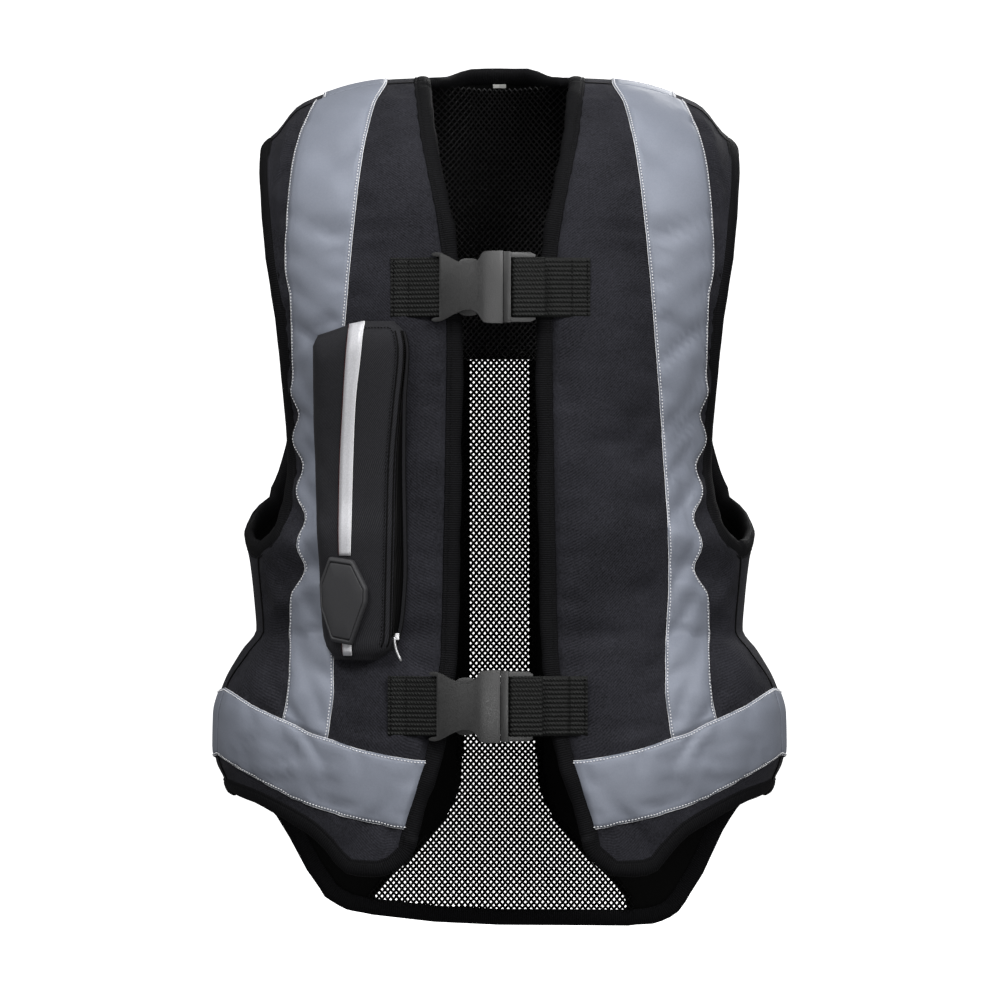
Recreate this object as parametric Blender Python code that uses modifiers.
"""Motorcycle airbag vest, in the form it has when it is worn.

Metres, +Z up, the front faces -Y, left and right are as seen from the front.
The origin lies midway between the shoulders, at the height where they rest.
Levels are measured down from there as shares of the back's length, and places
across are shares of the half width, so a table follows the sizes it belongs to.
"""
import math

import bmesh
import bpy
from mathutils import Vector

# Driving dimensions of the cut
HALF_WIDTH = 0.211
BACK_LENGTH = 0.624
FRONT_DEPTH = 0.130
BACK_DEPTH = 0.115
SQUARENESS = 2.4
SHOULDER_ROUND = 0.110
SEAM_FORWARD = 0.0060

# Cloth, bindings and tape
PANEL_WALL = 0.0050
NET_WALL = 0.0010
TAPE_WALL = 0.0006
TOUCH_GAP = 0.0003
SEAM_GAP = 0.0005
BINDING_WIDTH = 0.0115
BINDING_PROUD = 0.0010
NET_OVERLAP = 0.45

# Soft waves that run in from the armholes
FOLD_DEPTH = 0.0026
FOLD_PITCH = 0.0380
FOLD_REACH = 0.018
FOLD_WOBBLE = 0.0033
FOLD_SLANT = 0.35

# Pocket
POCKET_WIDTH = 0.070
POCKET_LENGTH = 0.243
POCKET_DEPTH = 0.0190
POCKET_TOP_LEVEL = 0.275
POCKET_ACROSS = 0.306
POCKET_SLANT = 0.0096
POCKET_LIFT = 0.0038
POCKET_TAPE_WALL = 0.0005
ZIP_WALL = 0.0008
PULL_LENGTH = 0.0165
PULL_WIDTH = 0.0060
PULL_WALL = 0.0012

# Badge on the pocket
BADGE_WIDTH = 0.0385
BADGE_LENGTH = 0.0635
BADGE_WALL = 0.0045
BADGE_BEVEL = 0.0016
BADGE_DOWN = 0.8235
BADGE_ACROSS = 0.519

# Buckles and webbing
WEBBING_WIDTH = 0.0420
WEBBING_WALL = 0.0018
WEBBING_REACH = 0.0350
WEBBING_SEWN = 0.0130
FOLD_BACK = 0.0240
SOCKET_LENGTH = 0.0455
SOCKET_HEIGHT = 0.0520
SOCKET_WALL = 0.0120
SLOT_DEPTH = 0.0060
COLLAR_LENGTH = 0.0045
PLUG_LENGTH = 0.0230
PLUG_HEIGHT = 0.0500
PLUG_WALL = 0.0100
RAIL_WIDTH = 0.0036
BAR_WIDTH = 0.0036
BAR_WALL = 0.0030
PRONG_LENGTH = 0.0340
PRONG_WALL = 0.0040
PLAY = 0.0004
BUCKLE_BEVEL = 0.0011
UPPER_BUCKLE_LEVEL = 0.2365
LOWER_BUCKLE_LEVEL = 0.7165
UPPER_JOINT = 0.0025
LOWER_JOINT = 0.0006

# Blank neck label
LABEL_WIDTH = 0.0110
LABEL_HEIGHT = 0.0032
LABEL_WALL = 0.0004


class Table:
    """Rows of named columns, read between the rows by a curve that never overshoots them."""

    def __init__(self, columns, rows):
        self.places = [row[0] for row in rows]
        self.values = {name: [row[k] for row in rows] for k, name in enumerate(columns) if k}

    def read(self, column, place):
        xs = self.places
        ys = self.values[column]
        if place <= xs[0]:
            return ys[0]
        if place >= xs[-1]:
            return ys[-1]
        k = max(i for i in range(len(xs) - 1) if xs[i] <= place)
        width = xs[k + 1] - xs[k]
        t = (place - xs[k]) / width
        start = self.slope(ys, k) * width
        end = self.slope(ys, k + 1) * width
        rise = ys[k + 1] - ys[k]
        return ys[k] + t * (start + t * (3 * rise - 2 * start - end + t * (start + end - 2 * rise)))

    def slope(self, ys, k):
        if k == 0 or k == len(ys) - 1:
            return 0.0
        before = (ys[k] - ys[k - 1]) / (self.places[k] - self.places[k - 1])
        after = (ys[k + 1] - ys[k]) / (self.places[k + 1] - self.places[k])
        if before * after <= 0:
            return 0.0
        return 2 * before * after / (before + after)


# Half widths as shares of HALF_WIDTH, depths as shares of FRONT_DEPTH and BACK_DEPTH
SECTIONS = Table(
    ("level", "front_width", "back_width", "front_depth", "back_depth"),
    (
        (-0.08, 0.930, 0.930, 0.86, 0.86),
        (0.05, 0.950, 0.930, 0.93, 0.90),
        (0.20, 0.930, 0.920, 0.98, 1.00),
        (0.31, 0.830, 0.905, 1.00, 1.02),
        (0.42, 0.750, 0.895, 1.00, 1.00),
        (0.48, 0.790, 0.890, 0.99, 0.97),
        (0.527, 0.889, 0.889, 0.98, 0.95),
        (0.55, 0.876, 0.876, 0.97, 0.94),
        (0.60, 0.859, 0.859, 0.96, 0.92),
        (0.633, 0.852, 0.852, 0.96, 0.91),
        (0.658, 0.903, 0.903, 0.97, 0.92),
        (0.696, 0.966, 0.966, 0.99, 0.94),
        (0.733, 0.998, 0.998, 1.01, 0.97),
        (0.772, 1.000, 1.000, 1.03, 0.99),
        (0.790, 0.991, 0.991, 1.03, 1.00),
        (0.809, 0.965, 0.965, 1.03, 1.00),
        (0.840, 0.940, 0.940, 1.03, 1.00),
        (0.920, 0.915, 0.915, 1.02, 0.98),
        (1.000, 0.900, 0.900, 1.01, 0.95),
    ),
)

# The crest of the shoulders, from the neck's centre out to the armhole
CREST = Table(
    ("across", "level"),
    (
        (0.000, -0.074),
        (0.090, -0.064),
        (0.160, -0.043),
        (0.206, -0.028),
        (0.250, -0.021),
        (0.293, -0.0195),
        (0.335, -0.0190),
        (0.423, -0.017),
        (0.510, -0.012),
        (0.615, -0.001),
        (0.665, 0.006),
        (0.700, 0.012),
        (0.738, 0.025),
        (0.770, 0.040),
        (0.808, 0.052),
        (0.900, 0.090),
    ),
)

# Where the front edge, the stripe and the armhole or side seam cross the front
FRONT_LINES = Table(
    ("level", "edge", "stripe_inner", "stripe_outer", "outer"),
    (
        (-0.014, 0.293, 0.390, 0.612, 0.800),
        (0.019, 0.281, 0.430, 0.650, 0.801),
        (0.054, 0.269, 0.453, 0.688, 0.802),
        (0.080, 0.254, 0.466, 0.706, 0.806),
        (0.112, 0.235, 0.479, 0.718, 0.802),
        (0.156, 0.209, 0.493, 0.728, 0.788),
        (0.206, 0.189, 0.508, 0.733, 0.772),
        (0.253, 0.178, 0.520, 0.714, 0.748),
        (0.306, 0.175, 0.532, 0.711, 0.734),
        (0.364, 0.177, 0.546, 0.707, 0.730),
        (0.428, 0.180, 0.558, 0.692, 0.716),
        (0.478, 0.182, 0.568, 0.682, 0.716),
        (0.500, 0.184, 0.572, 0.679, 0.734),
        (0.519, 0.185, 0.574, 0.678, 0.754),
        (0.530, 0.186, 0.575, 0.678, 0.775),
        (0.547, 0.187, 0.576, 0.678, 0.834),
        (0.591, 0.189, 0.576, 0.698, 0.825),
        (0.617, 0.191, 0.571, 0.724, 0.818),
        (0.633, 0.193, 0.568, 0.722, 0.816),
        (0.658, 0.195, 0.566, 0.717, 0.866),
        (0.700, 0.210, 0.565, 0.722, 0.946),
        (0.740, 0.224, 0.578, 0.744, 0.972),
        (0.779, 0.250, 0.596, 0.760, 0.974),
        (0.806, 0.276, 0.598, 0.762, 0.948),
        (0.824, 0.294, 0.596, 0.758, 0.930),
        (0.858, 0.324, 0.592, 0.750, 0.920),
        (0.878, 0.338, 0.580, 0.740, 0.910),
        (0.900, 0.352, 0.570, 0.730, 0.900),
    ),
)

# The waist band's two edges and the hem, from the front edge out to the side seam
FRONT_LEVELS = Table(
    ("across", "band_top", "band_bottom", "hem"),
    (
        (0.246, 0.779, 0.862, 0.878),
        (0.338, 0.776, 0.857, 0.880),
        (0.402, 0.772, 0.853, 0.896),
        (0.502, 0.764, 0.846, 0.895),
        (0.566, 0.757, 0.841, 0.872),
        (0.633, 0.750, 0.834, 0.852),
        (0.742, 0.734, 0.819, 0.832),
        (0.839, 0.720, 0.802, 0.818),
        (0.951, 0.701, 0.783, 0.808),
        (0.975, 0.699, 0.779, 0.806),
    ),
)

# The back's lines: the net's edge, the stripe and the armhole
BACK_LINES = Table(
    ("level", "net", "armhole"),
    (
        (-0.020, 0.116, 0.800),
        (0.060, 0.116, 0.800),
        (0.120, 0.108, 0.780),
        (0.200, 0.108, 0.735),
        (0.309, 0.108, 0.705),
        (0.400, 0.108, 0.715),
        (0.460, 0.108, 0.760),
        (0.490, 0.108, 0.800),
        (0.663, 0.108, 0.800),
        (0.780, 0.132, 0.890),
        (0.826, 0.142, 0.890),
        (0.857, 0.178, 0.880),
        (0.892, 0.254, 0.860),
        (0.928, 0.358, 0.840),
        (0.963, 0.455, 0.830),
        (1.000, 0.470, 0.820),
    ),
)

# The back's hem on each side, and the neck's seam, by their place across
BACK_HEM = Table(
    ("across", "left", "right"),
    (
        (0.000, 0.980, 0.980),
        (0.220, 0.976, 0.980),
        (0.419, 0.968, 0.980),
        (0.523, 0.962, 0.978),
        (0.597, 0.948, 0.970),
        (0.638, 0.929, 0.954),
        (0.685, 0.900, 0.928),
        (0.790, 0.842, 0.856),
        (0.860, 0.824, 0.828),
        (0.929, 0.814, 0.814),
        (1.000, 0.808, 0.808),
    ),
)
NECK_SEAM = Table(
    ("across", "level"),
    (
        (0.000, -0.0280),
        (0.116, -0.0260),
        (0.206, -0.0160),
        (0.258, -0.0180),
        (0.287, -0.0190),
    ),
)

# Columns of the back: their place at the shoulder, and below it between net and armhole
BACK_COLUMNS = (
    ("centre", 0.000, None),
    ("net edge", 0.116, 0.00),
    ("neck side", 0.185, 0.15),
    ("neck turn", 0.238, 0.29),
    ("neck end", 0.293, 0.42),
    ("stripe inner", 0.392, 0.56),
    ("stripe middle", 0.502, 0.70),
    ("stripe outer", 0.612, 0.84),
    ("shoulder turn", 0.710, 0.92),
    ("armhole", 0.800, 1.00),
)
NECK_END = 4
STRIPE_INNER = 5
STRIPE_OUTER = 7
ARMHOLE_COLUMN = 9
ARMHOLE_CORNER_LEVEL = 0.490

# Rows of cells between the key lines, from the shoulder down
FRONT_CHEST_ROWS = 16
BACK_CHEST_ROWS = 4
BACK_NET_ROWS = 5
WAIST_ROWS = 7
BAND_ROWS = 2
HEM_ROWS = 5
UNDERARM_LEVEL = 0.547
WAIST_LEVEL = 0.80
NET_TOP_LEVEL = 0.309
BACK_BAND_TOP_LEVEL = 0.712

# How far round the dome of the shoulder each row lies, the first step a narrow one
FRONT_DOME = (0.0, 0.04, 0.28, 0.52, 0.76, 1.0)
BACK_DOME = (0.0, 0.04, 0.23, 0.42, 0.61, 0.80, 1.0)
NECK_ROW = 2

# A binding's rounded section: share of its width outwards, share of its half thickness up
BINDING_CREST = 1.12
BINDING_SECTION = (
    (0.00, 1.00),
    (0.62, BINDING_CREST),
    (1.00, 0.00),
    (0.62, -BINDING_CREST),
    (0.00, -1.00),
)

# sRGB colour, roughness and metallic value of each finish
FINISHES = {
    "shell_fabric": ((0.028, 0.028, 0.032), 0.90, 0.0),
    "binding_fabric": ((0.020, 0.021, 0.021), 0.85, 0.0),
    "reflective_tape": ((0.240, 0.255, 0.290), 0.45, 0.2),
    "net_mesh": ((0.004, 0.004, 0.004), 0.80, 0.0),
    "pocket_fabric": ((0.022, 0.022, 0.023), 0.88, 0.0),
    "pocket_tape": ((0.560, 0.560, 0.560), 0.50, 0.1),
    "zip_tape": ((0.010, 0.010, 0.010), 0.80, 0.0),
    "zip_metal": ((0.600, 0.600, 0.610), 0.30, 1.0),
    "badge_rubber": ((0.042, 0.042, 0.044), 0.60, 0.0),
    "buckle_plastic": ((0.036, 0.036, 0.037), 0.48, 0.0),
    "webbing": ((0.012, 0.013, 0.012), 0.80, 0.0),
    "label": ((0.850, 0.850, 0.840), 0.70, 0.0),
}


def mix(a, b, t):
    return a + (b - a) * t


def smooth(t):
    t = min(max(t, 0.0), 1.0)
    return t * t * (3 - 2 * t)


def height(level):
    return -BACK_LENGTH * level


def level_of(z):
    return -z / BACK_LENGTH


def crest_height(x):
    return height(CREST.read("level", abs(x) / HALF_WIDTH))


def rise_share(share):
    """How far out the superellipse reaches, at a share of its half width."""
    return (1 - min(share, 1.0) ** SQUARENESS) ** (1 / SQUARENESS)


def lean(x, z):
    """0 on the crest of the shoulder, growing to 1 where the dome ends."""
    below = min(max(crest_height(x) - z, 0.0) / SHOULDER_ROUND, 1.0)
    return math.sqrt(1 - (1 - below) ** 2)


def fold_wave(z):
    """The waves' swing at a height, fading above the chest and at the waist."""
    start = height(0.349)
    fade = smooth((height(0.325) - z) / 0.03) * smooth((z - height(0.650)) / 0.04)
    return fade * math.cos(2 * math.pi * (start - z) / FOLD_PITCH)


def front_line(name, z):
    x = HALF_WIDTH * FRONT_LINES.read(name, level_of(z))
    if name == "stripe_outer":
        x += FOLD_WOBBLE * fold_wave(z)
    return x


def fold_relief(x, z):
    stripe = front_line("stripe_outer", z)
    inner = smooth(1 - (stripe - x) / FOLD_REACH)
    rim = max(front_line("outer", z) - stripe, 0.001)
    seam = smooth((height(UNDERARM_LEVEL) + 0.035 - z) / 0.03)
    outer = 1 - seam * smooth((x - stripe) / rim)
    return FOLD_DEPTH * fold_wave(z + FOLD_SLANT * (x - stripe)) * inner * outer


def front_point(x, z):
    level = level_of(z)
    width = HALF_WIDTH * SECTIONS.read("front_width", level)
    depth = FRONT_DEPTH * SECTIONS.read("front_depth", level)
    y = -depth * rise_share(abs(x) / width) * lean(x, z) - fold_relief(abs(x), z)
    return Vector((x, y, z))


def back_point(x, z):
    level = level_of(z)
    width = HALF_WIDTH * SECTIONS.read("back_width", level)
    depth = BACK_DEPTH * SECTIONS.read("back_depth", level)
    return Vector((x, depth * rise_share(abs(x) / width) * lean(x, z), z))


def turn_point(angle, z):
    """A point of the flank: the angle is 0 at the side, positive towards the back."""
    level = level_of(z)
    width = HALF_WIDTH * SECTIONS.read("back_width", level)
    if angle >= 0:
        depth = BACK_DEPTH * SECTIONS.read("back_depth", level)
    else:
        depth = FRONT_DEPTH * SECTIONS.read("front_depth", level)
    across = abs(math.cos(angle)) ** (2 / SQUARENESS)
    outward = abs(math.sin(angle)) ** (2 / SQUARENESS)
    return Vector((width * across, math.copysign(depth * outward, angle), z))


class Grid:
    """Rows and columns of points on the vest's surface, with their outward normals."""

    def __init__(self, points, outward, cells=()):
        self.points = points
        self.outward = outward
        corners = ((0, 0), (1, 0), (1, 1), (0, 1))
        every = [(i, j) for i, j in points if all((i + a, j + b) in points for a, b in corners)]
        self.normals = self.measured(every)
        self.normals.update(self.measured(cells))

    def faces(self, cells):
        keys = sorted({(i + a, j + b) for i, j in cells for a in (0, 1) for b in (0, 1)})
        index = {key: k for k, key in enumerate(keys)}
        found = []
        for i, j in cells:
            corners = ((i, j), (i + 1, j), (i + 1, j + 1), (i, j + 1))
            if self.outward < 0:
                corners = corners[::-1]
            found.append(tuple(index[c] for c in corners))
        return keys, found

    def measured(self, cells):
        """The normals of the cloth that these cells make."""
        keys, faces = self.faces(cells)
        mesh = bpy.data.meshes.new("normals")
        mesh.from_pydata([tuple(self.points[key]) for key in keys], [], faces)
        normals = {key: mesh.vertices[k].normal.copy() for k, key in enumerate(keys)}
        bpy.data.meshes.remove(mesh)
        return normals

    def lifted(self, key, lift):
        return self.points[key] + self.normals[key] * lift


def clear_scene():
    for item in list(bpy.data.objects):
        bpy.data.objects.remove(item, do_unlink=True)


def collection(name):
    group = bpy.data.collections.new(name)
    bpy.context.scene.collection.children.link(group)
    return group


def finish(name):
    found = bpy.data.materials.get(name)
    if found:
        return found
    colour, roughness, metallic = FINISHES[name]
    made = bpy.data.materials.new(name)
    made.use_nodes = True
    shader = made.node_tree.nodes["Principled BSDF"]
    shader.inputs["Base Color"].default_value = (*colour, 1.0)
    shader.inputs["Roughness"].default_value = roughness
    shader.inputs["Metallic"].default_value = metallic
    return made


def add_mesh(group, name, points, faces, finish_name):
    mesh = bpy.data.meshes.new(name)
    mesh.from_pydata([tuple(p) for p in points], [], faces)
    item = bpy.data.objects.new(name, mesh)
    item.data.materials.append(finish(finish_name))
    group.objects.link(item)
    return item


def mirrored(points, faces, side):
    """The same piece on the other side, its faces turned so that they still point out."""
    if side > 0:
        return points, faces
    return [Vector((-p.x, p.y, p.z)) for p in points], [tuple(reversed(f)) for f in faces]


def wall(item, thickness):
    """Gives an open surface its thickness; a positive one grows outwards."""
    solid = item.modifiers.new("wall", "SOLIDIFY")
    solid.thickness = abs(thickness)
    solid.offset = math.copysign(1.0, thickness)
    return item


def bevel(item, width):
    """Rounds a hard piece's edges and shades it smooth."""
    edges = item.modifiers.new("edges", "BEVEL")
    edges.width = width
    edges.segments = 1
    edges.limit_method = "ANGLE"
    edges.angle_limit = math.radians(50)
    return item


def sheet(group, name, grid, cells, lift, thickness, finish_name, side=1):
    """A cloth wall over some cells of a grid, lifted off its surface."""
    keys, faces = grid.faces(cells)
    points = [grid.lifted(key, lift) for key in keys]
    points, faces = mirrored(points, faces, side)
    return wall(add_mesh(group, name, points, faces, finish_name), thickness)


def loft(group, name, rings, closed, finish_name, side=1):
    """A solid through rings of points, capped at its ends or closed on itself."""
    size = len(rings[0])
    points = [p for ring in rings for p in ring]
    count = len(rings)
    faces = []
    for a in range(count if closed else count - 1):
        b = (a + 1) % count
        for k in range(size):
            n = (k + 1) % size
            faces.append((a * size + k, a * size + n, b * size + n, b * size + k))
    if not closed:
        faces.append(tuple(reversed(range(size))))
        faces.append(tuple((count - 1) * size + k for k in range(size)))
    points, faces = mirrored(points, faces, side)
    return add_mesh(group, name, points, faces, finish_name)


def settle(start, find_x, find_z):
    """The point where a column line crosses a row line, by a few steps between the two."""
    z = start
    for _ in range(8):
        x = find_x(z)
        z = find_z(x)
    return find_x(z), z


# The front's columns: two of its lines, and the shares between them below and above
# the underarm
FRONT_COLUMNS = (
    ("edge", "edge", 0.0, 0.0),
    ("edge", "stripe_inner", 0.36, 0.36),
    ("edge", "stripe_inner", 0.70, 0.70),
    ("stripe_inner", "stripe_inner", 0.0, 0.0),
    ("stripe_inner", "stripe_outer", 0.5, 0.5),
    ("stripe_outer", "stripe_outer", 0.0, 0.0),
    ("stripe_outer", "outer", 0.5, 0.42),
    ("stripe_outer", "outer", 0.95, 0.74),
    ("outer", "outer", 0.0, 0.0),
)
FRONT_STRIPE_INNER = 3
FRONT_STRIPE_OUTER = 5
FRONT_OUTER = 8

# The back's columns between the armhole's line and the side seam, as shares of the way
SIDE_TURNS = (0.0, 0.25, 0.50, 0.74, 0.955, 1.0)

FRONT_UNDERARM_ROW = len(FRONT_DOME) - 1 + FRONT_CHEST_ROWS
FRONT_BAND_ROW = FRONT_UNDERARM_ROW + WAIST_ROWS
FRONT_BAND_END_ROW = FRONT_BAND_ROW + BAND_ROWS
FRONT_LAST_ROW = FRONT_BAND_END_ROW + HEM_ROWS
NET_TOP_ROW = len(BACK_DOME) - 1 + BACK_CHEST_ROWS
BACK_CORNER_ROW = NET_TOP_ROW + BACK_NET_ROWS
BACK_BAND_ROW = BACK_CORNER_ROW + WAIST_ROWS
BACK_BAND_END_ROW = BACK_BAND_ROW + BAND_ROWS
BACK_LAST_ROW = BACK_BAND_END_ROW + HEM_ROWS
BACK_SEAM_COLUMN = ARMHOLE_COLUMN + len(SIDE_TURNS) - 1


def front_column(j, z):
    first, second, lower, upper = FRONT_COLUMNS[j]
    share = mix(lower, upper, smooth((z - height(UNDERARM_LEVEL)) / FOLD_PITCH))
    x = mix(front_line(first, z), front_line(second, z), share)
    return x - (SEAM_GAP / 2 if j == FRONT_OUTER else 0.0)


def seam_turn():
    """The angle round the shoulder at which its seam lies in front of the crest."""
    return math.acos(1 - SEAM_FORWARD / SHOULDER_ROUND)


def block(rows, columns):
    return [(i, j) for i in range(*rows) for j in range(*columns)]


def front_grid():
    """The right front panel, from the shoulder seam to the hem's seam."""
    points = {}
    for j in range(len(FRONT_COLUMNS)):

        def column(z, j=j):
            return front_column(j, z)

        row = 0
        for share in FRONT_DOME:
            angle = mix(seam_turn() + SEAM_GAP / FRONT_DEPTH, math.pi / 2, share)
            drop = SHOULDER_ROUND * (1 - math.cos(angle))
            x, z = settle(0.0, column, lambda x, drop=drop: crest_height(x) - drop)
            points[row, j] = front_point(x, z)
            row += 1
        heights = [z, height(UNDERARM_LEVEL)]
        for name in ("band_top", "band_bottom", "hem"):

            def row_line(x, name=name):
                return height(FRONT_LEVELS.read(name, x / HALF_WIDTH))

            heights.append(settle(height(WAIST_LEVEL), column, row_line)[1])
        counts = (FRONT_CHEST_ROWS, WAIST_ROWS, BAND_ROWS, HEM_ROWS)
        for above, below, rows in zip(heights, heights[1:], counts):
            for k in range(1, rows + 1):
                z = mix(above, below, k / rows)
                points[row, j] = front_point(column(z), z)
                row += 1
    return Grid(points, 1)


def side_seam_angle(z):
    """Where the side seam lies round the flank, a little in front of the side."""
    width = HALF_WIDTH * SECTIONS.read("back_width", level_of(z))
    share = min((front_line("outer", z) + SEAM_GAP / 2) / width, 0.999)
    return -math.acos(share ** (SQUARENESS / 2))


def armhole_angle(z):
    """Where the back's armhole column lies round the flank."""
    width = HALF_WIDTH * SECTIONS.read("back_width", level_of(z))
    share = HALF_WIDTH * BACK_LINES.read("armhole", level_of(z)) / width
    return math.acos(share ** (SQUARENESS / 2))


def back_column(j, z):
    """The place across of one of the back's column lines, at a height."""
    _, top, share = BACK_COLUMNS[j]
    if share is None:
        return 0.0
    level = level_of(z)
    body = mix(BACK_LINES.read("net", level), BACK_LINES.read("armhole", level), share)
    return HALF_WIDTH * mix(top, body, smooth(level / 0.20))


def back_upper_points(j):
    """One column of the back from the neck or shoulder seam to the armhole's corner."""
    top = BACK_COLUMNS[j][1]
    row = 0 if j >= NECK_END else NECK_ROW
    first = SEAM_GAP / FRONT_DEPTH - seam_turn()
    if j < NECK_END:
        start = height(NECK_SEAM.read("level", top))
        drop = max(crest_height(top * HALF_WIDTH) - start, 0.0)
        first = math.acos(1 - drop / SHOULDER_ROUND)
    found = {}
    for k in range(row, len(BACK_DOME)):
        share = (BACK_DOME[k] - BACK_DOME[row]) / (1 - BACK_DOME[row])
        angle = mix(first, math.pi / 2, share)
        drop = SHOULDER_ROUND * (1 - math.cos(angle))
        x, z = settle(
            0.0,
            lambda z: back_column(j, z),
            lambda x, drop=drop: crest_height(x) - drop,
        )
        found[k] = front_point(x, z) if angle < 0 else back_point(x, z)
    heights = (z, height(NET_TOP_LEVEL), height(ARMHOLE_CORNER_LEVEL))
    for above, below, rows in zip(heights, heights[1:], (BACK_CHEST_ROWS, BACK_NET_ROWS)):
        last = max(found)
        for k in range(1, rows + 1):
            z = mix(above, below, k / rows)
            found[last + k] = back_point(back_column(j, z), z)
    return found


def back_lower_points(j, word, seam):
    """One column of the back from the armhole's corner row to the hem's seam."""
    turned = SIDE_TURNS[max(j - ARMHOLE_COLUMN, 0)]

    def place(z):
        if j <= ARMHOLE_COLUMN:
            return back_point(back_column(j, z), z)
        return turn_point(mix(armhole_angle(z), side_seam_angle(z), turned), z)

    start = mix(height(ARMHOLE_CORNER_LEVEL), seam[0], math.sin(turned * math.pi / 2))
    band_top = mix(height(BACK_BAND_TOP_LEVEL), seam[1], turned ** 2)
    band_bottom = band_top + seam[2] - seam[1]
    hem = settle(
        height(WAIST_LEVEL),
        lambda z: place(z).x,
        lambda x: height(BACK_HEM.read(word, x / HALF_WIDTH)),
    )[1]
    if turned == 1:
        hem = seam[3]
    found = [place(start)]
    heights = (start, band_top, band_bottom, hem)
    for above, below, rows in zip(heights, heights[1:], (WAIST_ROWS, BAND_ROWS, HEM_ROWS)):
        found += [place(mix(above, below, k / rows)) for k in range(1, rows + 1)]
    return found


def back_cells():
    upper = block((0, BACK_CORNER_ROW), (-ARMHOLE_COLUMN, ARMHOLE_COLUMN))
    lower = block((BACK_CORNER_ROW, BACK_LAST_ROW), (-BACK_SEAM_COLUMN, BACK_SEAM_COLUMN))
    window = block((NET_TOP_ROW, BACK_LAST_ROW), (-1, 1))
    neck = block((0, NECK_ROW), (-NECK_END, NECK_END))
    return [cell for cell in upper + lower if cell not in window + neck]


def back_grid(front):
    """The whole back, with columns numbered from the centre out to both side seams."""
    rows = (FRONT_UNDERARM_ROW, FRONT_BAND_ROW, FRONT_BAND_END_ROW, FRONT_LAST_ROW)
    seam = [front.points[row, FRONT_OUTER].z for row in rows]
    points = {}
    for side, word in ((-1, "left"), (1, "right")):
        for j in range(BACK_SEAM_COLUMN + 1):
            if j <= ARMHOLE_COLUMN:
                for i, p in back_upper_points(j).items():
                    points[i, side * j] = Vector((side * p.x, p.y, p.z))
            for k, p in enumerate(back_lower_points(j, word, seam)):
                points[BACK_CORNER_ROW + k, side * j] = Vector((side * p.x, p.y, p.z))
    return Grid(points, -1, back_cells())


def net_grid(back):
    """The net's own grid: the window's cells, and a border that laps behind the cloth."""
    points = {}
    normals = {}
    rows = range(NET_TOP_ROW - 1, BACK_LAST_ROW + 1)
    for i in rows:
        for j in (-2, -1, 0, 1, 2):
            point = back.points[i, j]
            if abs(j) == 2:
                point = mix(back.points[i, j // 2], point, NET_OVERLAP)
            points[i, j] = point
            normals[i, j] = back.normals[i, j]
    for j in (-2, -1, 0, 1, 2):
        points[rows[0], j] = mix(points[rows[1], j], points[rows[0], j], NET_OVERLAP)
    grid = Grid(points, -1)
    grid.normals = normals
    return grid, block((rows[0], rows[-1]), (-2, 2))


def build_panels(group, front, back):
    cells = block((0, FRONT_LAST_ROW), (0, FRONT_OUTER))
    for side, word in ((-1, "left"), (1, "right")):
        sheet(group, f"front_panel_{word}", front, cells, 0.0, -PANEL_WALL, "shell_fabric", side)
    sheet(group, "back_panel", back, back_cells(), 0.0, -PANEL_WALL, "shell_fabric")
    net, cells = net_grid(back)
    sheet(group, "back_net", net, cells, -PANEL_WALL - TOUCH_GAP, -NET_WALL, "net_mesh")


def trimmed(grid, cells):
    """A copy of a grid with the end rows of some cells drawn in, to part two tapes."""
    rows = [i for i, _ in cells]
    copy = Grid(dict(grid.points), grid.outward)
    copy.normals = grid.normals
    for end, inside in ((min(rows), min(rows) + 1), (max(rows) + 1, max(rows))):
        for i, j in list(grid.points):
            if i == end and (inside, j) in grid.points:
                step = grid.points[inside, j] - grid.points[i, j]
                copy.points[i, j] = grid.points[i, j] + step.normalized() * TOUCH_GAP
    return copy


def build_tape(group, front, back):
    stripe = block((0, FRONT_BAND_ROW), (FRONT_STRIPE_INNER, FRONT_STRIPE_OUTER))
    band = block((FRONT_BAND_ROW, FRONT_BAND_END_ROW), (0, FRONT_OUTER))
    pieces = []
    for side, word in ((-1, "left"), (1, "right")):
        pieces.append((f"front_stripe_{word}", front, stripe, side))
        pieces.append((f"front_band_{word}", front, band, side))
        ends = sorted((side * STRIPE_INNER, side * STRIPE_OUTER))
        pieces.append((f"back_stripe_{word}", back, block((0, BACK_BAND_ROW), ends), 1))
        ends = sorted((side, side * BACK_SEAM_COLUMN))
        rows = (BACK_BAND_ROW, BACK_BAND_END_ROW)
        pieces.append((f"back_band_{word}", back, block(rows, ends), 1))
    for name, grid, cells, side in pieces:
        cut = trimmed(grid, cells)
        sheet(group, name, cut, cells, TOUCH_GAP, TAPE_WALL, "reflective_tape", side)


def joined(runs):
    """One closed cloth edge from runs whose ends meet at seams, and where each run starts."""
    path = []
    marks = []
    for k, run in enumerate(runs):
        (point, normal), (other, tilt) = run[0], runs[k - 1][-1]
        marks.append(len(path))
        path.append(((point + other) / 2, (normal + tilt).normalized()))
        path += run[1:-1]
    return path, marks


def binding_ring(path, k, shift=0.0):
    """The binding's section at one point of a closed cloth edge, moved a little along it."""
    point, normal = path[k % len(path)]
    along = (path[(k + 1) % len(path)][0] - path[(k - 1) % len(path)][0]).normalized()
    sideways = along.cross(normal).normalized()
    middle = point + along * shift - normal * (PANEL_WALL / 2)
    half = PANEL_WALL / 2 + BINDING_PROUD
    reach = BINDING_WIDTH - SEAM_GAP
    return [
        middle + sideways * (SEAM_GAP + out * reach) + normal * (half * up)
        for out, up in BINDING_SECTION
    ]


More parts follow.
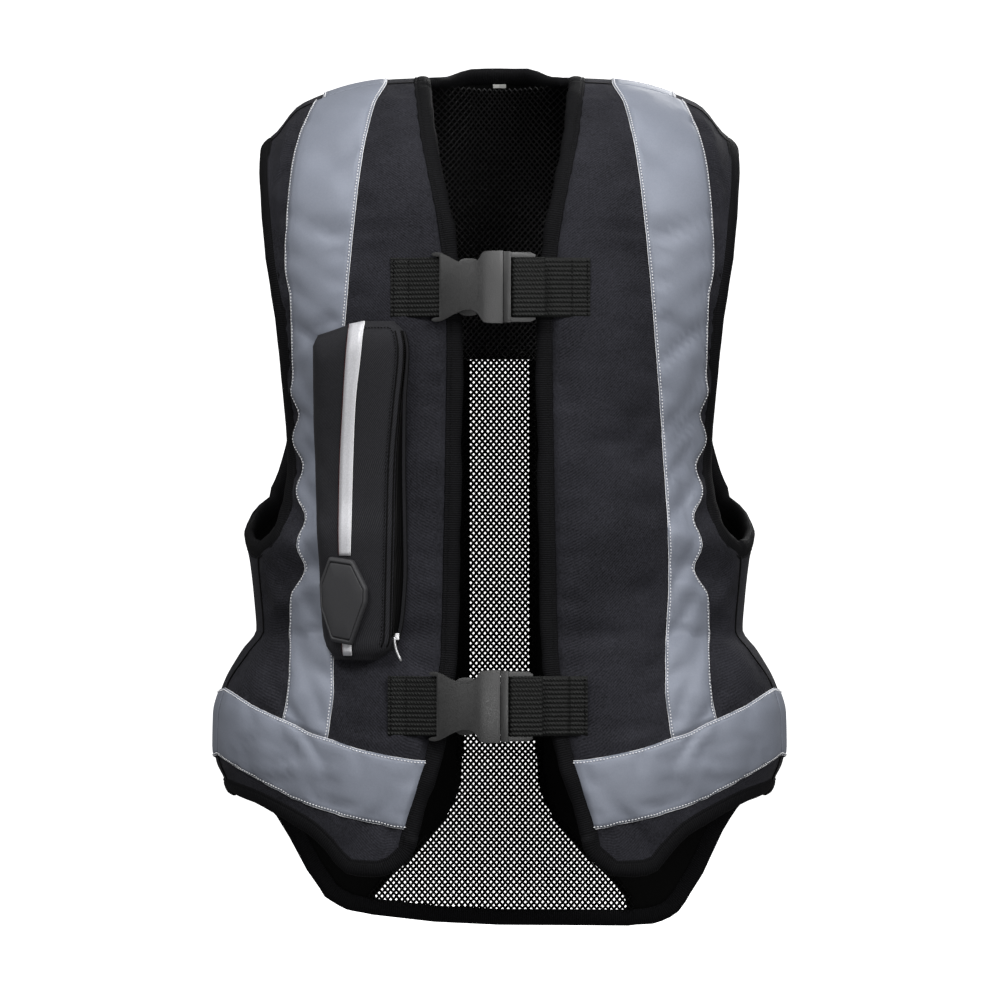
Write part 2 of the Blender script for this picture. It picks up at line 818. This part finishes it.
def build_bindings(group, front, back):
    """The rim round neck, front edges and hem in four pieces, and a ring at each armhole."""

    def run(grid, keys, side=1):
        found = [(grid.points[key], grid.normals[key]) for key in keys]
        if side > 0:
            return found
        return [(Vector((-p.x, p.y, p.z)), Vector((-n.x, n.y, n.z))) for p, n in found]

    last = FRONT_LAST_ROW
    edge = [(i, 0) for i in range(last + 1)] + [(last, j) for j in range(1, FRONT_OUTER + 1)]
    seam = BACK_SEAM_COLUMN
    neck = [(i, -NECK_END) for i in range(NECK_ROW)]
    neck += [(NECK_ROW, j) for j in range(-NECK_END, NECK_END + 1)]
    neck += [(i, NECK_END) for i in reversed(range(NECK_ROW))]
    runs = (
        run(front, edge),
        run(back, [(BACK_LAST_ROW, j) for j in range(seam, -seam - 1, -1)]),
        run(front, edge[::-1], -1),
        run(back, neck),
    )
    names = (
        "front_edge_binding_right",
        "back_hem_binding",
        "front_edge_binding_left",
        "back_neck_binding",
    )
    path, marks = joined(runs)
    marks.append(len(path))
    for name, start, end in zip(names, marks, marks[1:]):
        rings = [binding_ring(path, start, SEAM_GAP / 2)]
        rings += [binding_ring(path, k) for k in range(start + 1, end)]
        rings.append(binding_ring(path, end, -SEAM_GAP / 2))
        loft(group, name, rings, False, "binding_fabric")

    hole = [(i, ARMHOLE_COLUMN) for i in range(BACK_CORNER_ROW)]
    hole += [(BACK_CORNER_ROW, j) for j in range(ARMHOLE_COLUMN, seam + 1)]
    up = [(i, FRONT_OUTER) for i in range(FRONT_UNDERARM_ROW, -1, -1)]
    path, _ = joined((run(back, hole), run(front, up)))
    rings = [binding_ring(path, k) for k in range(len(path))]
    for side, word in ((-1, "left"), (1, "right")):
        loft(group, f"armhole_binding_{word}", rings, True, "binding_fabric", side)


# The pocket's lines across, as shares of its width from its inner edge, by its length
POCKET_LINES = Table(
    ("share", "outer", "tape_outer", "tape_inner", "gusset", "inner", "depth"),
    (
        (0.00, 0.95, 0.615, 0.455, 0.220, 0.150, 0.35),
        (0.03, 1.00, 0.625, 0.470, 0.110, 0.040, 0.80),
        (0.09, 1.00, 0.645, 0.490, 0.080, 0.000, 1.00),
        (0.25, 1.00, 0.680, 0.550, 0.130, 0.030, 1.00),
        (0.43, 0.98, 0.710, 0.575, 0.180, 0.035, 1.00),
        (0.60, 0.96, 0.720, 0.590, 0.195, 0.025, 1.00),
        (0.72, 0.935, 0.715, 0.600, 0.205, 0.020, 1.00),
        (0.85, 0.915, 0.700, 0.600, 0.215, 0.045, 1.00),
        (0.93, 0.890, 0.690, 0.595, 0.225, 0.090, 0.96),
        (0.97, 0.840, 0.680, 0.590, 0.270, 0.160, 0.84),
        (1.00, 0.770, 0.670, 0.585, 0.400, 0.330, 0.40),
    ),
)
POCKET_BACK_POINTS = 4
POCKET_ROWS = (0, 0.03, 0.09, 0.17, 0.25, 0.34, 0.43, 0.515, 0.60, 0.69, 0.78, 0.86, 0.93, 0.97, 1)
TAPE_END_ROW = 9
TAB_ROWS = (12, 13)
ZIP_ROWS = (1, 12)
ZIP_SHARES = (0.28, 0.72)


def pocket_place(across, share, lift):
    """A point of the pocket, lifted forwards off the left front panel."""
    fall = POCKET_SLANT * smooth((across - 0.45) / 0.55) * (1 - share) ** 3
    z = height(POCKET_TOP_LEVEL) - share * POCKET_LENGTH - fall
    x = HALF_WIDTH * POCKET_ACROSS + across * POCKET_WIDTH
    point = front_point(x, z)
    return Vector((x, point.y - POCKET_LIFT - lift * POCKET_DEPTH, z))


# The pocket's section over its face, from its outer to its inner base: the line of its
# table, how far inside that line, and the share of its depth
POCKET_SECTION = (
    ("outer", 0.000, 0.00),
    ("outer", 0.015, 0.70),
    ("outer", 0.090, 0.97),
    ("tape_outer", 0.000, 1.00),
    ("tape_inner", 0.000, 1.00),
    ("gusset", 0.000, 0.88),
    ("inner", 0.000, 0.00),
)


def pocket_ring(share):
    def at(name):
        return POCKET_LINES.read(name, share)

    depth = at("depth")
    inner, outer = at("inner"), at("outer")
    ring = [
        pocket_place(at(line) - off, share, rise * depth)
        for line, off, rise in POCKET_SECTION
    ]
    for k in range(1, POCKET_BACK_POINTS + 1):
        across = mix(inner, outer, k / (POCKET_BACK_POINTS + 1))
        ring.append(pocket_place(across, share, 0.0))
    return ring


def strip(group, name, pairs, lift, thickness, finish_name):
    """A narrow strip through pairs of points, lifted off the face that they lie on."""
    points = []
    for k, (a, b) in enumerate(pairs):
        ahead = sum(pairs[min(k + 1, len(pairs) - 1)], Vector())
        behind = sum(pairs[max(k - 1, 0)], Vector())
        normal = (b - a).cross(ahead - behind).normalized()
        points += [a + normal * lift, b + normal * lift]
    faces = [(2 * k, 2 * k + 1, 2 * k + 3, 2 * k + 2) for k in range(len(pairs) - 1)]
    points, faces = mirrored(points, faces, -1)
    return wall(add_mesh(group, name, points, faces, finish_name), thickness)


def plate(group, name, outline, centre, right, up, thickness, finish_name, side=-1):
    """A flat plate with an outline in its own plane, its front towards right x up."""
    front = right.cross(up).normalized()
    half = front * (thickness / 2)
    flat = [centre + right * x + up * z for x, z in outline]
    rings = [[p - half for p in flat], [p + half for p in flat]]
    return loft(group, name, rings, False, finish_name, side)


# The badge's outline, as shares of its width and length
BADGE_OUTLINE = (
    (-0.28, 0.50),
    (-0.50, 0.20),
    (-0.49, -0.08),
    (-0.28, -0.455),
    (0.13, -0.50),
    (0.48, -0.015),
    (0.50, 0.145),
    (0.22, 0.46),
)


def build_pocket(group):
    rings = [pocket_ring(share) for share in POCKET_ROWS]
    loft(group, "pocket_body", rings, False, "pocket_fabric", -1)
    face = [(ring[3], ring[4]) for ring in rings]
    tape = face[: TAPE_END_ROW + 1]
    strip(group, "pocket_stripe", tape, TOUCH_GAP, POCKET_TAPE_WALL, "pocket_tape")
    tab = face[TAB_ROWS[0] : TAB_ROWS[1] + 1]
    strip(group, "pocket_stripe_tab", tab, TOUCH_GAP, POCKET_TAPE_WALL, "pocket_tape")
    side = [
        tuple(mix(ring[5], ring[6], share) for share in ZIP_SHARES)
        for ring in rings[ZIP_ROWS[0] : ZIP_ROWS[1] + 1]
    ]
    strip(group, "pocket_zip", side, SEAM_GAP, ZIP_WALL, "zip_tape")
    build_pull(group, side)
    build_badge(group)


def build_pull(group, zip_pairs):
    """The zip's pull, hanging over the zip's lower end."""
    a, b = zip_pairs[-2]
    c, d = zip_pairs[-1]
    right = (b - a).normalized()
    down = ((c + d) - (a + b)).normalized()
    front = right.cross(down).normalized()
    right = down.cross(front).normalized()
    lift = SEAM_GAP + TOUCH_GAP + ZIP_WALL + PULL_WALL / 2
    half = PULL_WIDTH / 2
    outline = [
        (-0.5 * half, 0.0),
        (0.5 * half, 0.0),
        (0.6 * half, -0.30 * PULL_LENGTH),
        (half, -0.45 * PULL_LENGTH),
        (half, -0.90 * PULL_LENGTH),
        (0.6 * half, -PULL_LENGTH),
        (-0.6 * half, -PULL_LENGTH),
        (-half, -0.90 * PULL_LENGTH),
        (-half, -0.45 * PULL_LENGTH),
        (-0.6 * half, -0.30 * PULL_LENGTH),
    ]
    centre = (a + b + c + d) / 4 + front * lift
    plate(group, "zip_pull", outline[::-1], centre, right, -down, PULL_WALL, "zip_metal")


# How far from its middle the badge rests on the pocket, as a share of its size
BADGE_SEAT = 0.38


def build_badge(group):
    """The rubber badge, flat on the pocket's face and clear of the stripe under it."""
    start = HALF_WIDTH * (BADGE_ACROSS - POCKET_ACROSS)

    def face_point(across, rise):
        place = (start + across * BADGE_WIDTH) / POCKET_WIDTH
        share = BADGE_DOWN - rise * BADGE_LENGTH / POCKET_LENGTH
        return pocket_place(place, share, POCKET_LINES.read("depth", share))

    right = (face_point(BADGE_SEAT, 0.0) - face_point(-BADGE_SEAT, 0.0)).normalized()
    up = (face_point(0.0, BADGE_SEAT) - face_point(0.0, -BADGE_SEAT)).normalized()
    front = right.cross(up).normalized()
    up = front.cross(right).normalized()
    middle = face_point(0.0, 0.0)
    bulge = max(front.dot(face_point(-u, w) - middle) for u, w in BADGE_OUTLINE)
    lift = max(bulge, 0.0) + POCKET_TAPE_WALL + TOUCH_GAP + BADGE_WALL / 2
    centre = middle + front * lift
    outline = [(-u * BADGE_WIDTH, w * BADGE_LENGTH) for u, w in reversed(BADGE_OUTLINE)]
    item = plate(
        group, "pocket_badge", outline, centre, right, up, BADGE_WALL, "badge_rubber"
    )
    bevel(item, BADGE_BEVEL)


# The socket's upper outline from its webbing end to its mouth, as shares of its length
# and half height
SOCKET_OUTLINE = (
    (-1.000, 0.83),
    (-1.075, 0.84),
    (-1.135, 0.89),
    (-1.100, 0.95),
    (-0.990, 0.95),
    (-0.880, 0.86),
    (-0.720, 0.70),
    (-0.560, 0.61),
    (-0.410, 0.68),
    (-0.330, 0.93),
    (-0.290, 0.985),
    (0.000, 1.000),
)

# The prong's outline from the collar to its tip, as shares of its length and of the
# socket's half height
PRONG_OUTLINE = (
    (0.00, 0.62),
    (-0.42, 0.60),
    (-0.55, 0.78),
    (-0.85, 0.80),
    (-0.98, 0.66),
    (-1.00, 0.42),
    (-0.35, 0.34),
)


def both_halves(upper):
    """A closed outline from its upper half, which runs from left to right."""
    return [(x, -z) for x, z in upper] + [(x, z) for x, z in reversed(upper)]


def flat_piece(group, name, outline, joint, middle, z, thickness, finish_name):
    centre = Vector((joint, middle, z))
    right = Vector((1, 0, 0))
    up = Vector((0, 0, 1))
    return plate(group, name, outline, centre, right, up, thickness, finish_name, 1)


def box(group, name, low, high, finish_name="buckle_plastic"):
    """A plain block between two corners."""
    bm = bmesh.new()
    bmesh.ops.create_cube(bm, size=1.0)
    middle = [(a + b) / 2 for a, b in zip(low, high)]
    for vertex in bm.verts:
        vertex.co = Vector(
            [m + c * (b - a) for m, c, a, b in zip(middle, vertex.co, low, high)]
        )
    mesh = bpy.data.meshes.new(name)
    bm.to_mesh(mesh)
    bm.free()
    item = bpy.data.objects.new(name, mesh)
    item.data.materials.append(finish(finish_name))
    group.objects.link(item)
    return item


def cut(item, other, operation):
    """Cuts or joins with a helper block, which stays out of the finished part."""
    step = item.modifiers.new(other.name, "BOOLEAN")
    step.operation = operation
    step.solver = "EXACT"
    step.object = other
    other.hide_render = True
    other.display_type = "WIRE"


# How far past a buckle's half height the binding under it is looked at
BINDING_MARGIN = 1.3


def over_binding(z, half):
    """How far forward a piece that spans a height must stay to clear the edge binding."""
    heights = [z + k * half * BINDING_MARGIN / 2 for k in (-2, -1, 0, 1, 2)]
    cloth = min(front_point(front_line("edge", h), h).y for h in heights)
    crest = BINDING_CREST * (PANEL_WALL / 2 + BINDING_PROUD) - PANEL_WALL / 2
    return cloth - crest - 3 * TOUCH_GAP


def build_buckle(group, cutters, name, level, joint):
    """A side-release buckle, fastened over the gap between the two front edges."""
    z = height(level)
    middle = over_binding(z, SOCKET_HEIGHT / 2) - SOCKET_WALL / 2
    build_socket(group, cutters, name, joint, middle, z)
    build_plug(group, cutters, name, joint + TOUCH_GAP, middle, z)
    build_webbing(group, name, joint, middle, z)


# The socket's mouth and its two side openings, as shares of its half height, and where
# the side openings end, as a share of its length from the mouth
MOUTH_SHARE = 0.62
RELEASE_FROM = 0.40
RELEASE_TO = 0.80
RELEASE_END = 0.30


def build_socket(group, cutters, name, joint, middle, z):
    half = SOCKET_HEIGHT / 2
    outline = both_halves([(x * SOCKET_LENGTH, h * half) for x, h in SOCKET_OUTLINE])
    item = flat_piece(
        group, f"{name}_socket", outline, joint, middle, z, SOCKET_WALL, "buckle_plastic"
    )
    bevel(item, BUCKLE_BEVEL)
    deep = PRONG_LENGTH + PLAY
    tall = MOUTH_SHARE * half + PLAY
    thick = PRONG_WALL / 2 + PLAY
    mouth = box(
        cutters,
        f"{name}_mouth",
        (joint - deep, middle - thick, z - tall),
        (joint + SOCKET_WALL, middle + thick, z + tall),
    )
    cut(item, mouth, "DIFFERENCE")
    for word, way in (("upper", 1), ("lower", -1)):
        ends = sorted((z + way * RELEASE_FROM * half, z + way * (RELEASE_TO * half + PLAY)))
        release = box(
            cutters,
            f"{name}_release_{word}",
            (joint - deep, middle - thick, ends[0]),
            (joint - RELEASE_END * SOCKET_LENGTH, middle + thick, ends[1]),
        )
        cut(item, release, "DIFFERENCE")
    slot_half = WEBBING_WIDTH / 2 + PLAY
    depth = WEBBING_WALL / 2 + PLAY
    slot = box(
        cutters,
        f"{name}_slot",
        (joint - SOCKET_LENGTH - SLOT_DEPTH, middle - depth, z - slot_half),
        (joint - SOCKET_LENGTH + SLOT_DEPTH, middle + depth, z + slot_half),
    )
    cut(item, slot, "DIFFERENCE")


def loop_radius():
    """The radius of the webbing's middle where it turns round the plug's square bar."""
    return math.hypot(BAR_WALL, BAR_WALL) / 2 + PLAY + WEBBING_WALL / 2


def bar_place(joint):
    """Where the plug's bar starts, clear of the collar by the webbing's turn round it."""
    reach = loop_radius() + WEBBING_WALL / 2 - BAR_WALL / 2
    return joint + COLLAR_LENGTH + reach + PLAY


def build_plug(group, cutters, name, joint, middle, z):
    half = SOCKET_HEIGHT / 2
    plug_half = PLUG_HEIGHT / 2
    prong = [(x * PRONG_LENGTH, h * half) for x, h in PRONG_OUTLINE]
    upper = [(x, h) for x, h in reversed(prong)]
    upper += [(0.0, plug_half), (PLUG_LENGTH - RAIL_WIDTH, plug_half)]
    upper += [(PLUG_LENGTH, plug_half - RAIL_WIDTH / 2), (PLUG_LENGTH, plug_half - RAIL_WIDTH)]
    upper += [(COLLAR_LENGTH, plug_half - RAIL_WIDTH)]
    outline = both_halves(upper)
    item = flat_piece(
        group, f"{name}_plug", outline, joint, middle, z, PRONG_WALL, "buckle_plastic"
    )
    collar = box(
        cutters,
        f"{name}_collar",
        (joint, middle - PLUG_WALL / 2, z - plug_half - PLAY),
        (joint + COLLAR_LENGTH, middle + PLUG_WALL / 2, z + plug_half + PLAY),
    )
    cut(item, collar, "UNION")
    start = bar_place(joint)
    bar = box(
        cutters,
        f"{name}_bar",
        (start, middle - BAR_WALL / 2, z - plug_half + RAIL_WIDTH / 2),
        (start + BAR_WIDTH, middle + BAR_WALL / 2, z + plug_half - RAIL_WIDTH / 2),
    )
    cut(item, bar, "UNION")


def webbing_strip(group, name, stations, side, z):
    """A strap through stations: its place, and how far its middle lies off the cloth."""
    half = WEBBING_WIDTH / 2 - PLAY
    rings = []
    for k, (x, y) in enumerate(stations):
        ahead = Vector(stations[min(k + 1, len(stations) - 1)])
        behind = Vector(stations[max(k - 1, 0)])
        run = (ahead - behind).normalized()
        normal = Vector((run.y, -run.x)) * (WEBBING_WALL / 2)
        ring = []
        for lift, drop in ((1, -1), (1, 1), (-1, 1), (-1, -1)):
            place = Vector((x, y)) + normal * lift
            ring.append(Vector((side * place.x, place.y, z + drop * half)))
        rings.append(ring[::-1] if side > 0 else ring)
    return loft(group, name, rings, False, "webbing")


def cloth_y(x, z):
    """How far forward the front's cloth comes, over the width of a strap."""
    half = WEBBING_WIDTH / 2
    return min(front_point(x, z + k * half).y for k in (-1, -0.5, 0, 0.5, 1))


def build_webbing(group, name, joint, middle, z):
    lift = WEBBING_WALL / 2 + TOUCH_GAP
    left_end = SOCKET_LENGTH - joint - SLOT_DEPTH + PLAY
    sewn = SOCKET_LENGTH - joint + WEBBING_REACH
    stations = [(left_end, middle), (left_end + SLOT_DEPTH, middle)]
    for x in (sewn - WEBBING_SEWN, sewn - WEBBING_SEWN / 2, sewn):
        stations.append((x, cloth_y(x, z) - lift))
    webbing_strip(group, f"{name}_webbing_left", stations, -1, z)

    turn = loop_radius()
    centre = bar_place(joint + TOUCH_GAP) + BAR_WALL / 2
    stations = [(centre - turn + FOLD_BACK, middle - turn)]
    for k in range(5):
        angle = math.pi * (0.5 + k / 4)
        stations.append((centre + turn * math.cos(angle), middle - turn * math.sin(angle)))
    half = WEBBING_WIDTH / 2
    edge = max(front_line("edge", z + k * half) for k in (-1, 0, 1)) + BINDING_PROUD
    stations.append((edge, over_binding(z, half) - WEBBING_WALL / 2))
    sewn = joint + COLLAR_LENGTH + WEBBING_REACH + PLUG_LENGTH
    for x in (sewn - WEBBING_SEWN, sewn - WEBBING_SEWN / 2, sewn):
        stations.append((x, cloth_y(x, z) - lift))
    webbing_strip(group, f"{name}_webbing_right", stations, 1, z)


# Where the label starts, as a share of the way down to the next row of the back
LABEL_START = 0.04


def build_label(group, back):
    """The small blank label inside the neck, below its binding."""
    rows = []
    drop = (back.points[NECK_ROW, 0] - back.points[NECK_ROW + 1, 0]).length
    for share in (LABEL_START, LABEL_START + LABEL_HEIGHT / drop):
        row = []
        for j in (-1, 0, 1):
            reach = abs(j) * LABEL_WIDTH / 2 / back.points[NECK_ROW, 1].x
            ends = []
            for i in (NECK_ROW, NECK_ROW + 1):
                ends.append(
                    mix(
                        back.lifted((i, 0), -PANEL_WALL - 3 * TOUCH_GAP),
                        back.lifted((i, j), -PANEL_WALL - 3 * TOUCH_GAP),
                        reach,
                    )
                )
            row.append(mix(ends[0], ends[1], share))
        rows.append(row)
    points = rows[0] + rows[1]
    faces = [(0, 1, 4, 3), (1, 2, 5, 4)]
    item = add_mesh(group, "neck_label", points, faces, "label")
    wall(item, -LABEL_WALL)


def main():
    clear_scene()
    group = collection("airbag_vest")
    cutters = collection("cutters")
    front = front_grid()
    back = back_grid(front)
    build_panels(group, front, back)
    build_tape(group, front, back)
    build_bindings(group, front, back)
    build_pocket(group)
    build_buckle(group, cutters, "upper_buckle", UPPER_BUCKLE_LEVEL, UPPER_JOINT)
    build_buckle(group, cutters, "lower_buckle", LOWER_BUCKLE_LEVEL, LOWER_JOINT)
    build_label(group, back)


main()
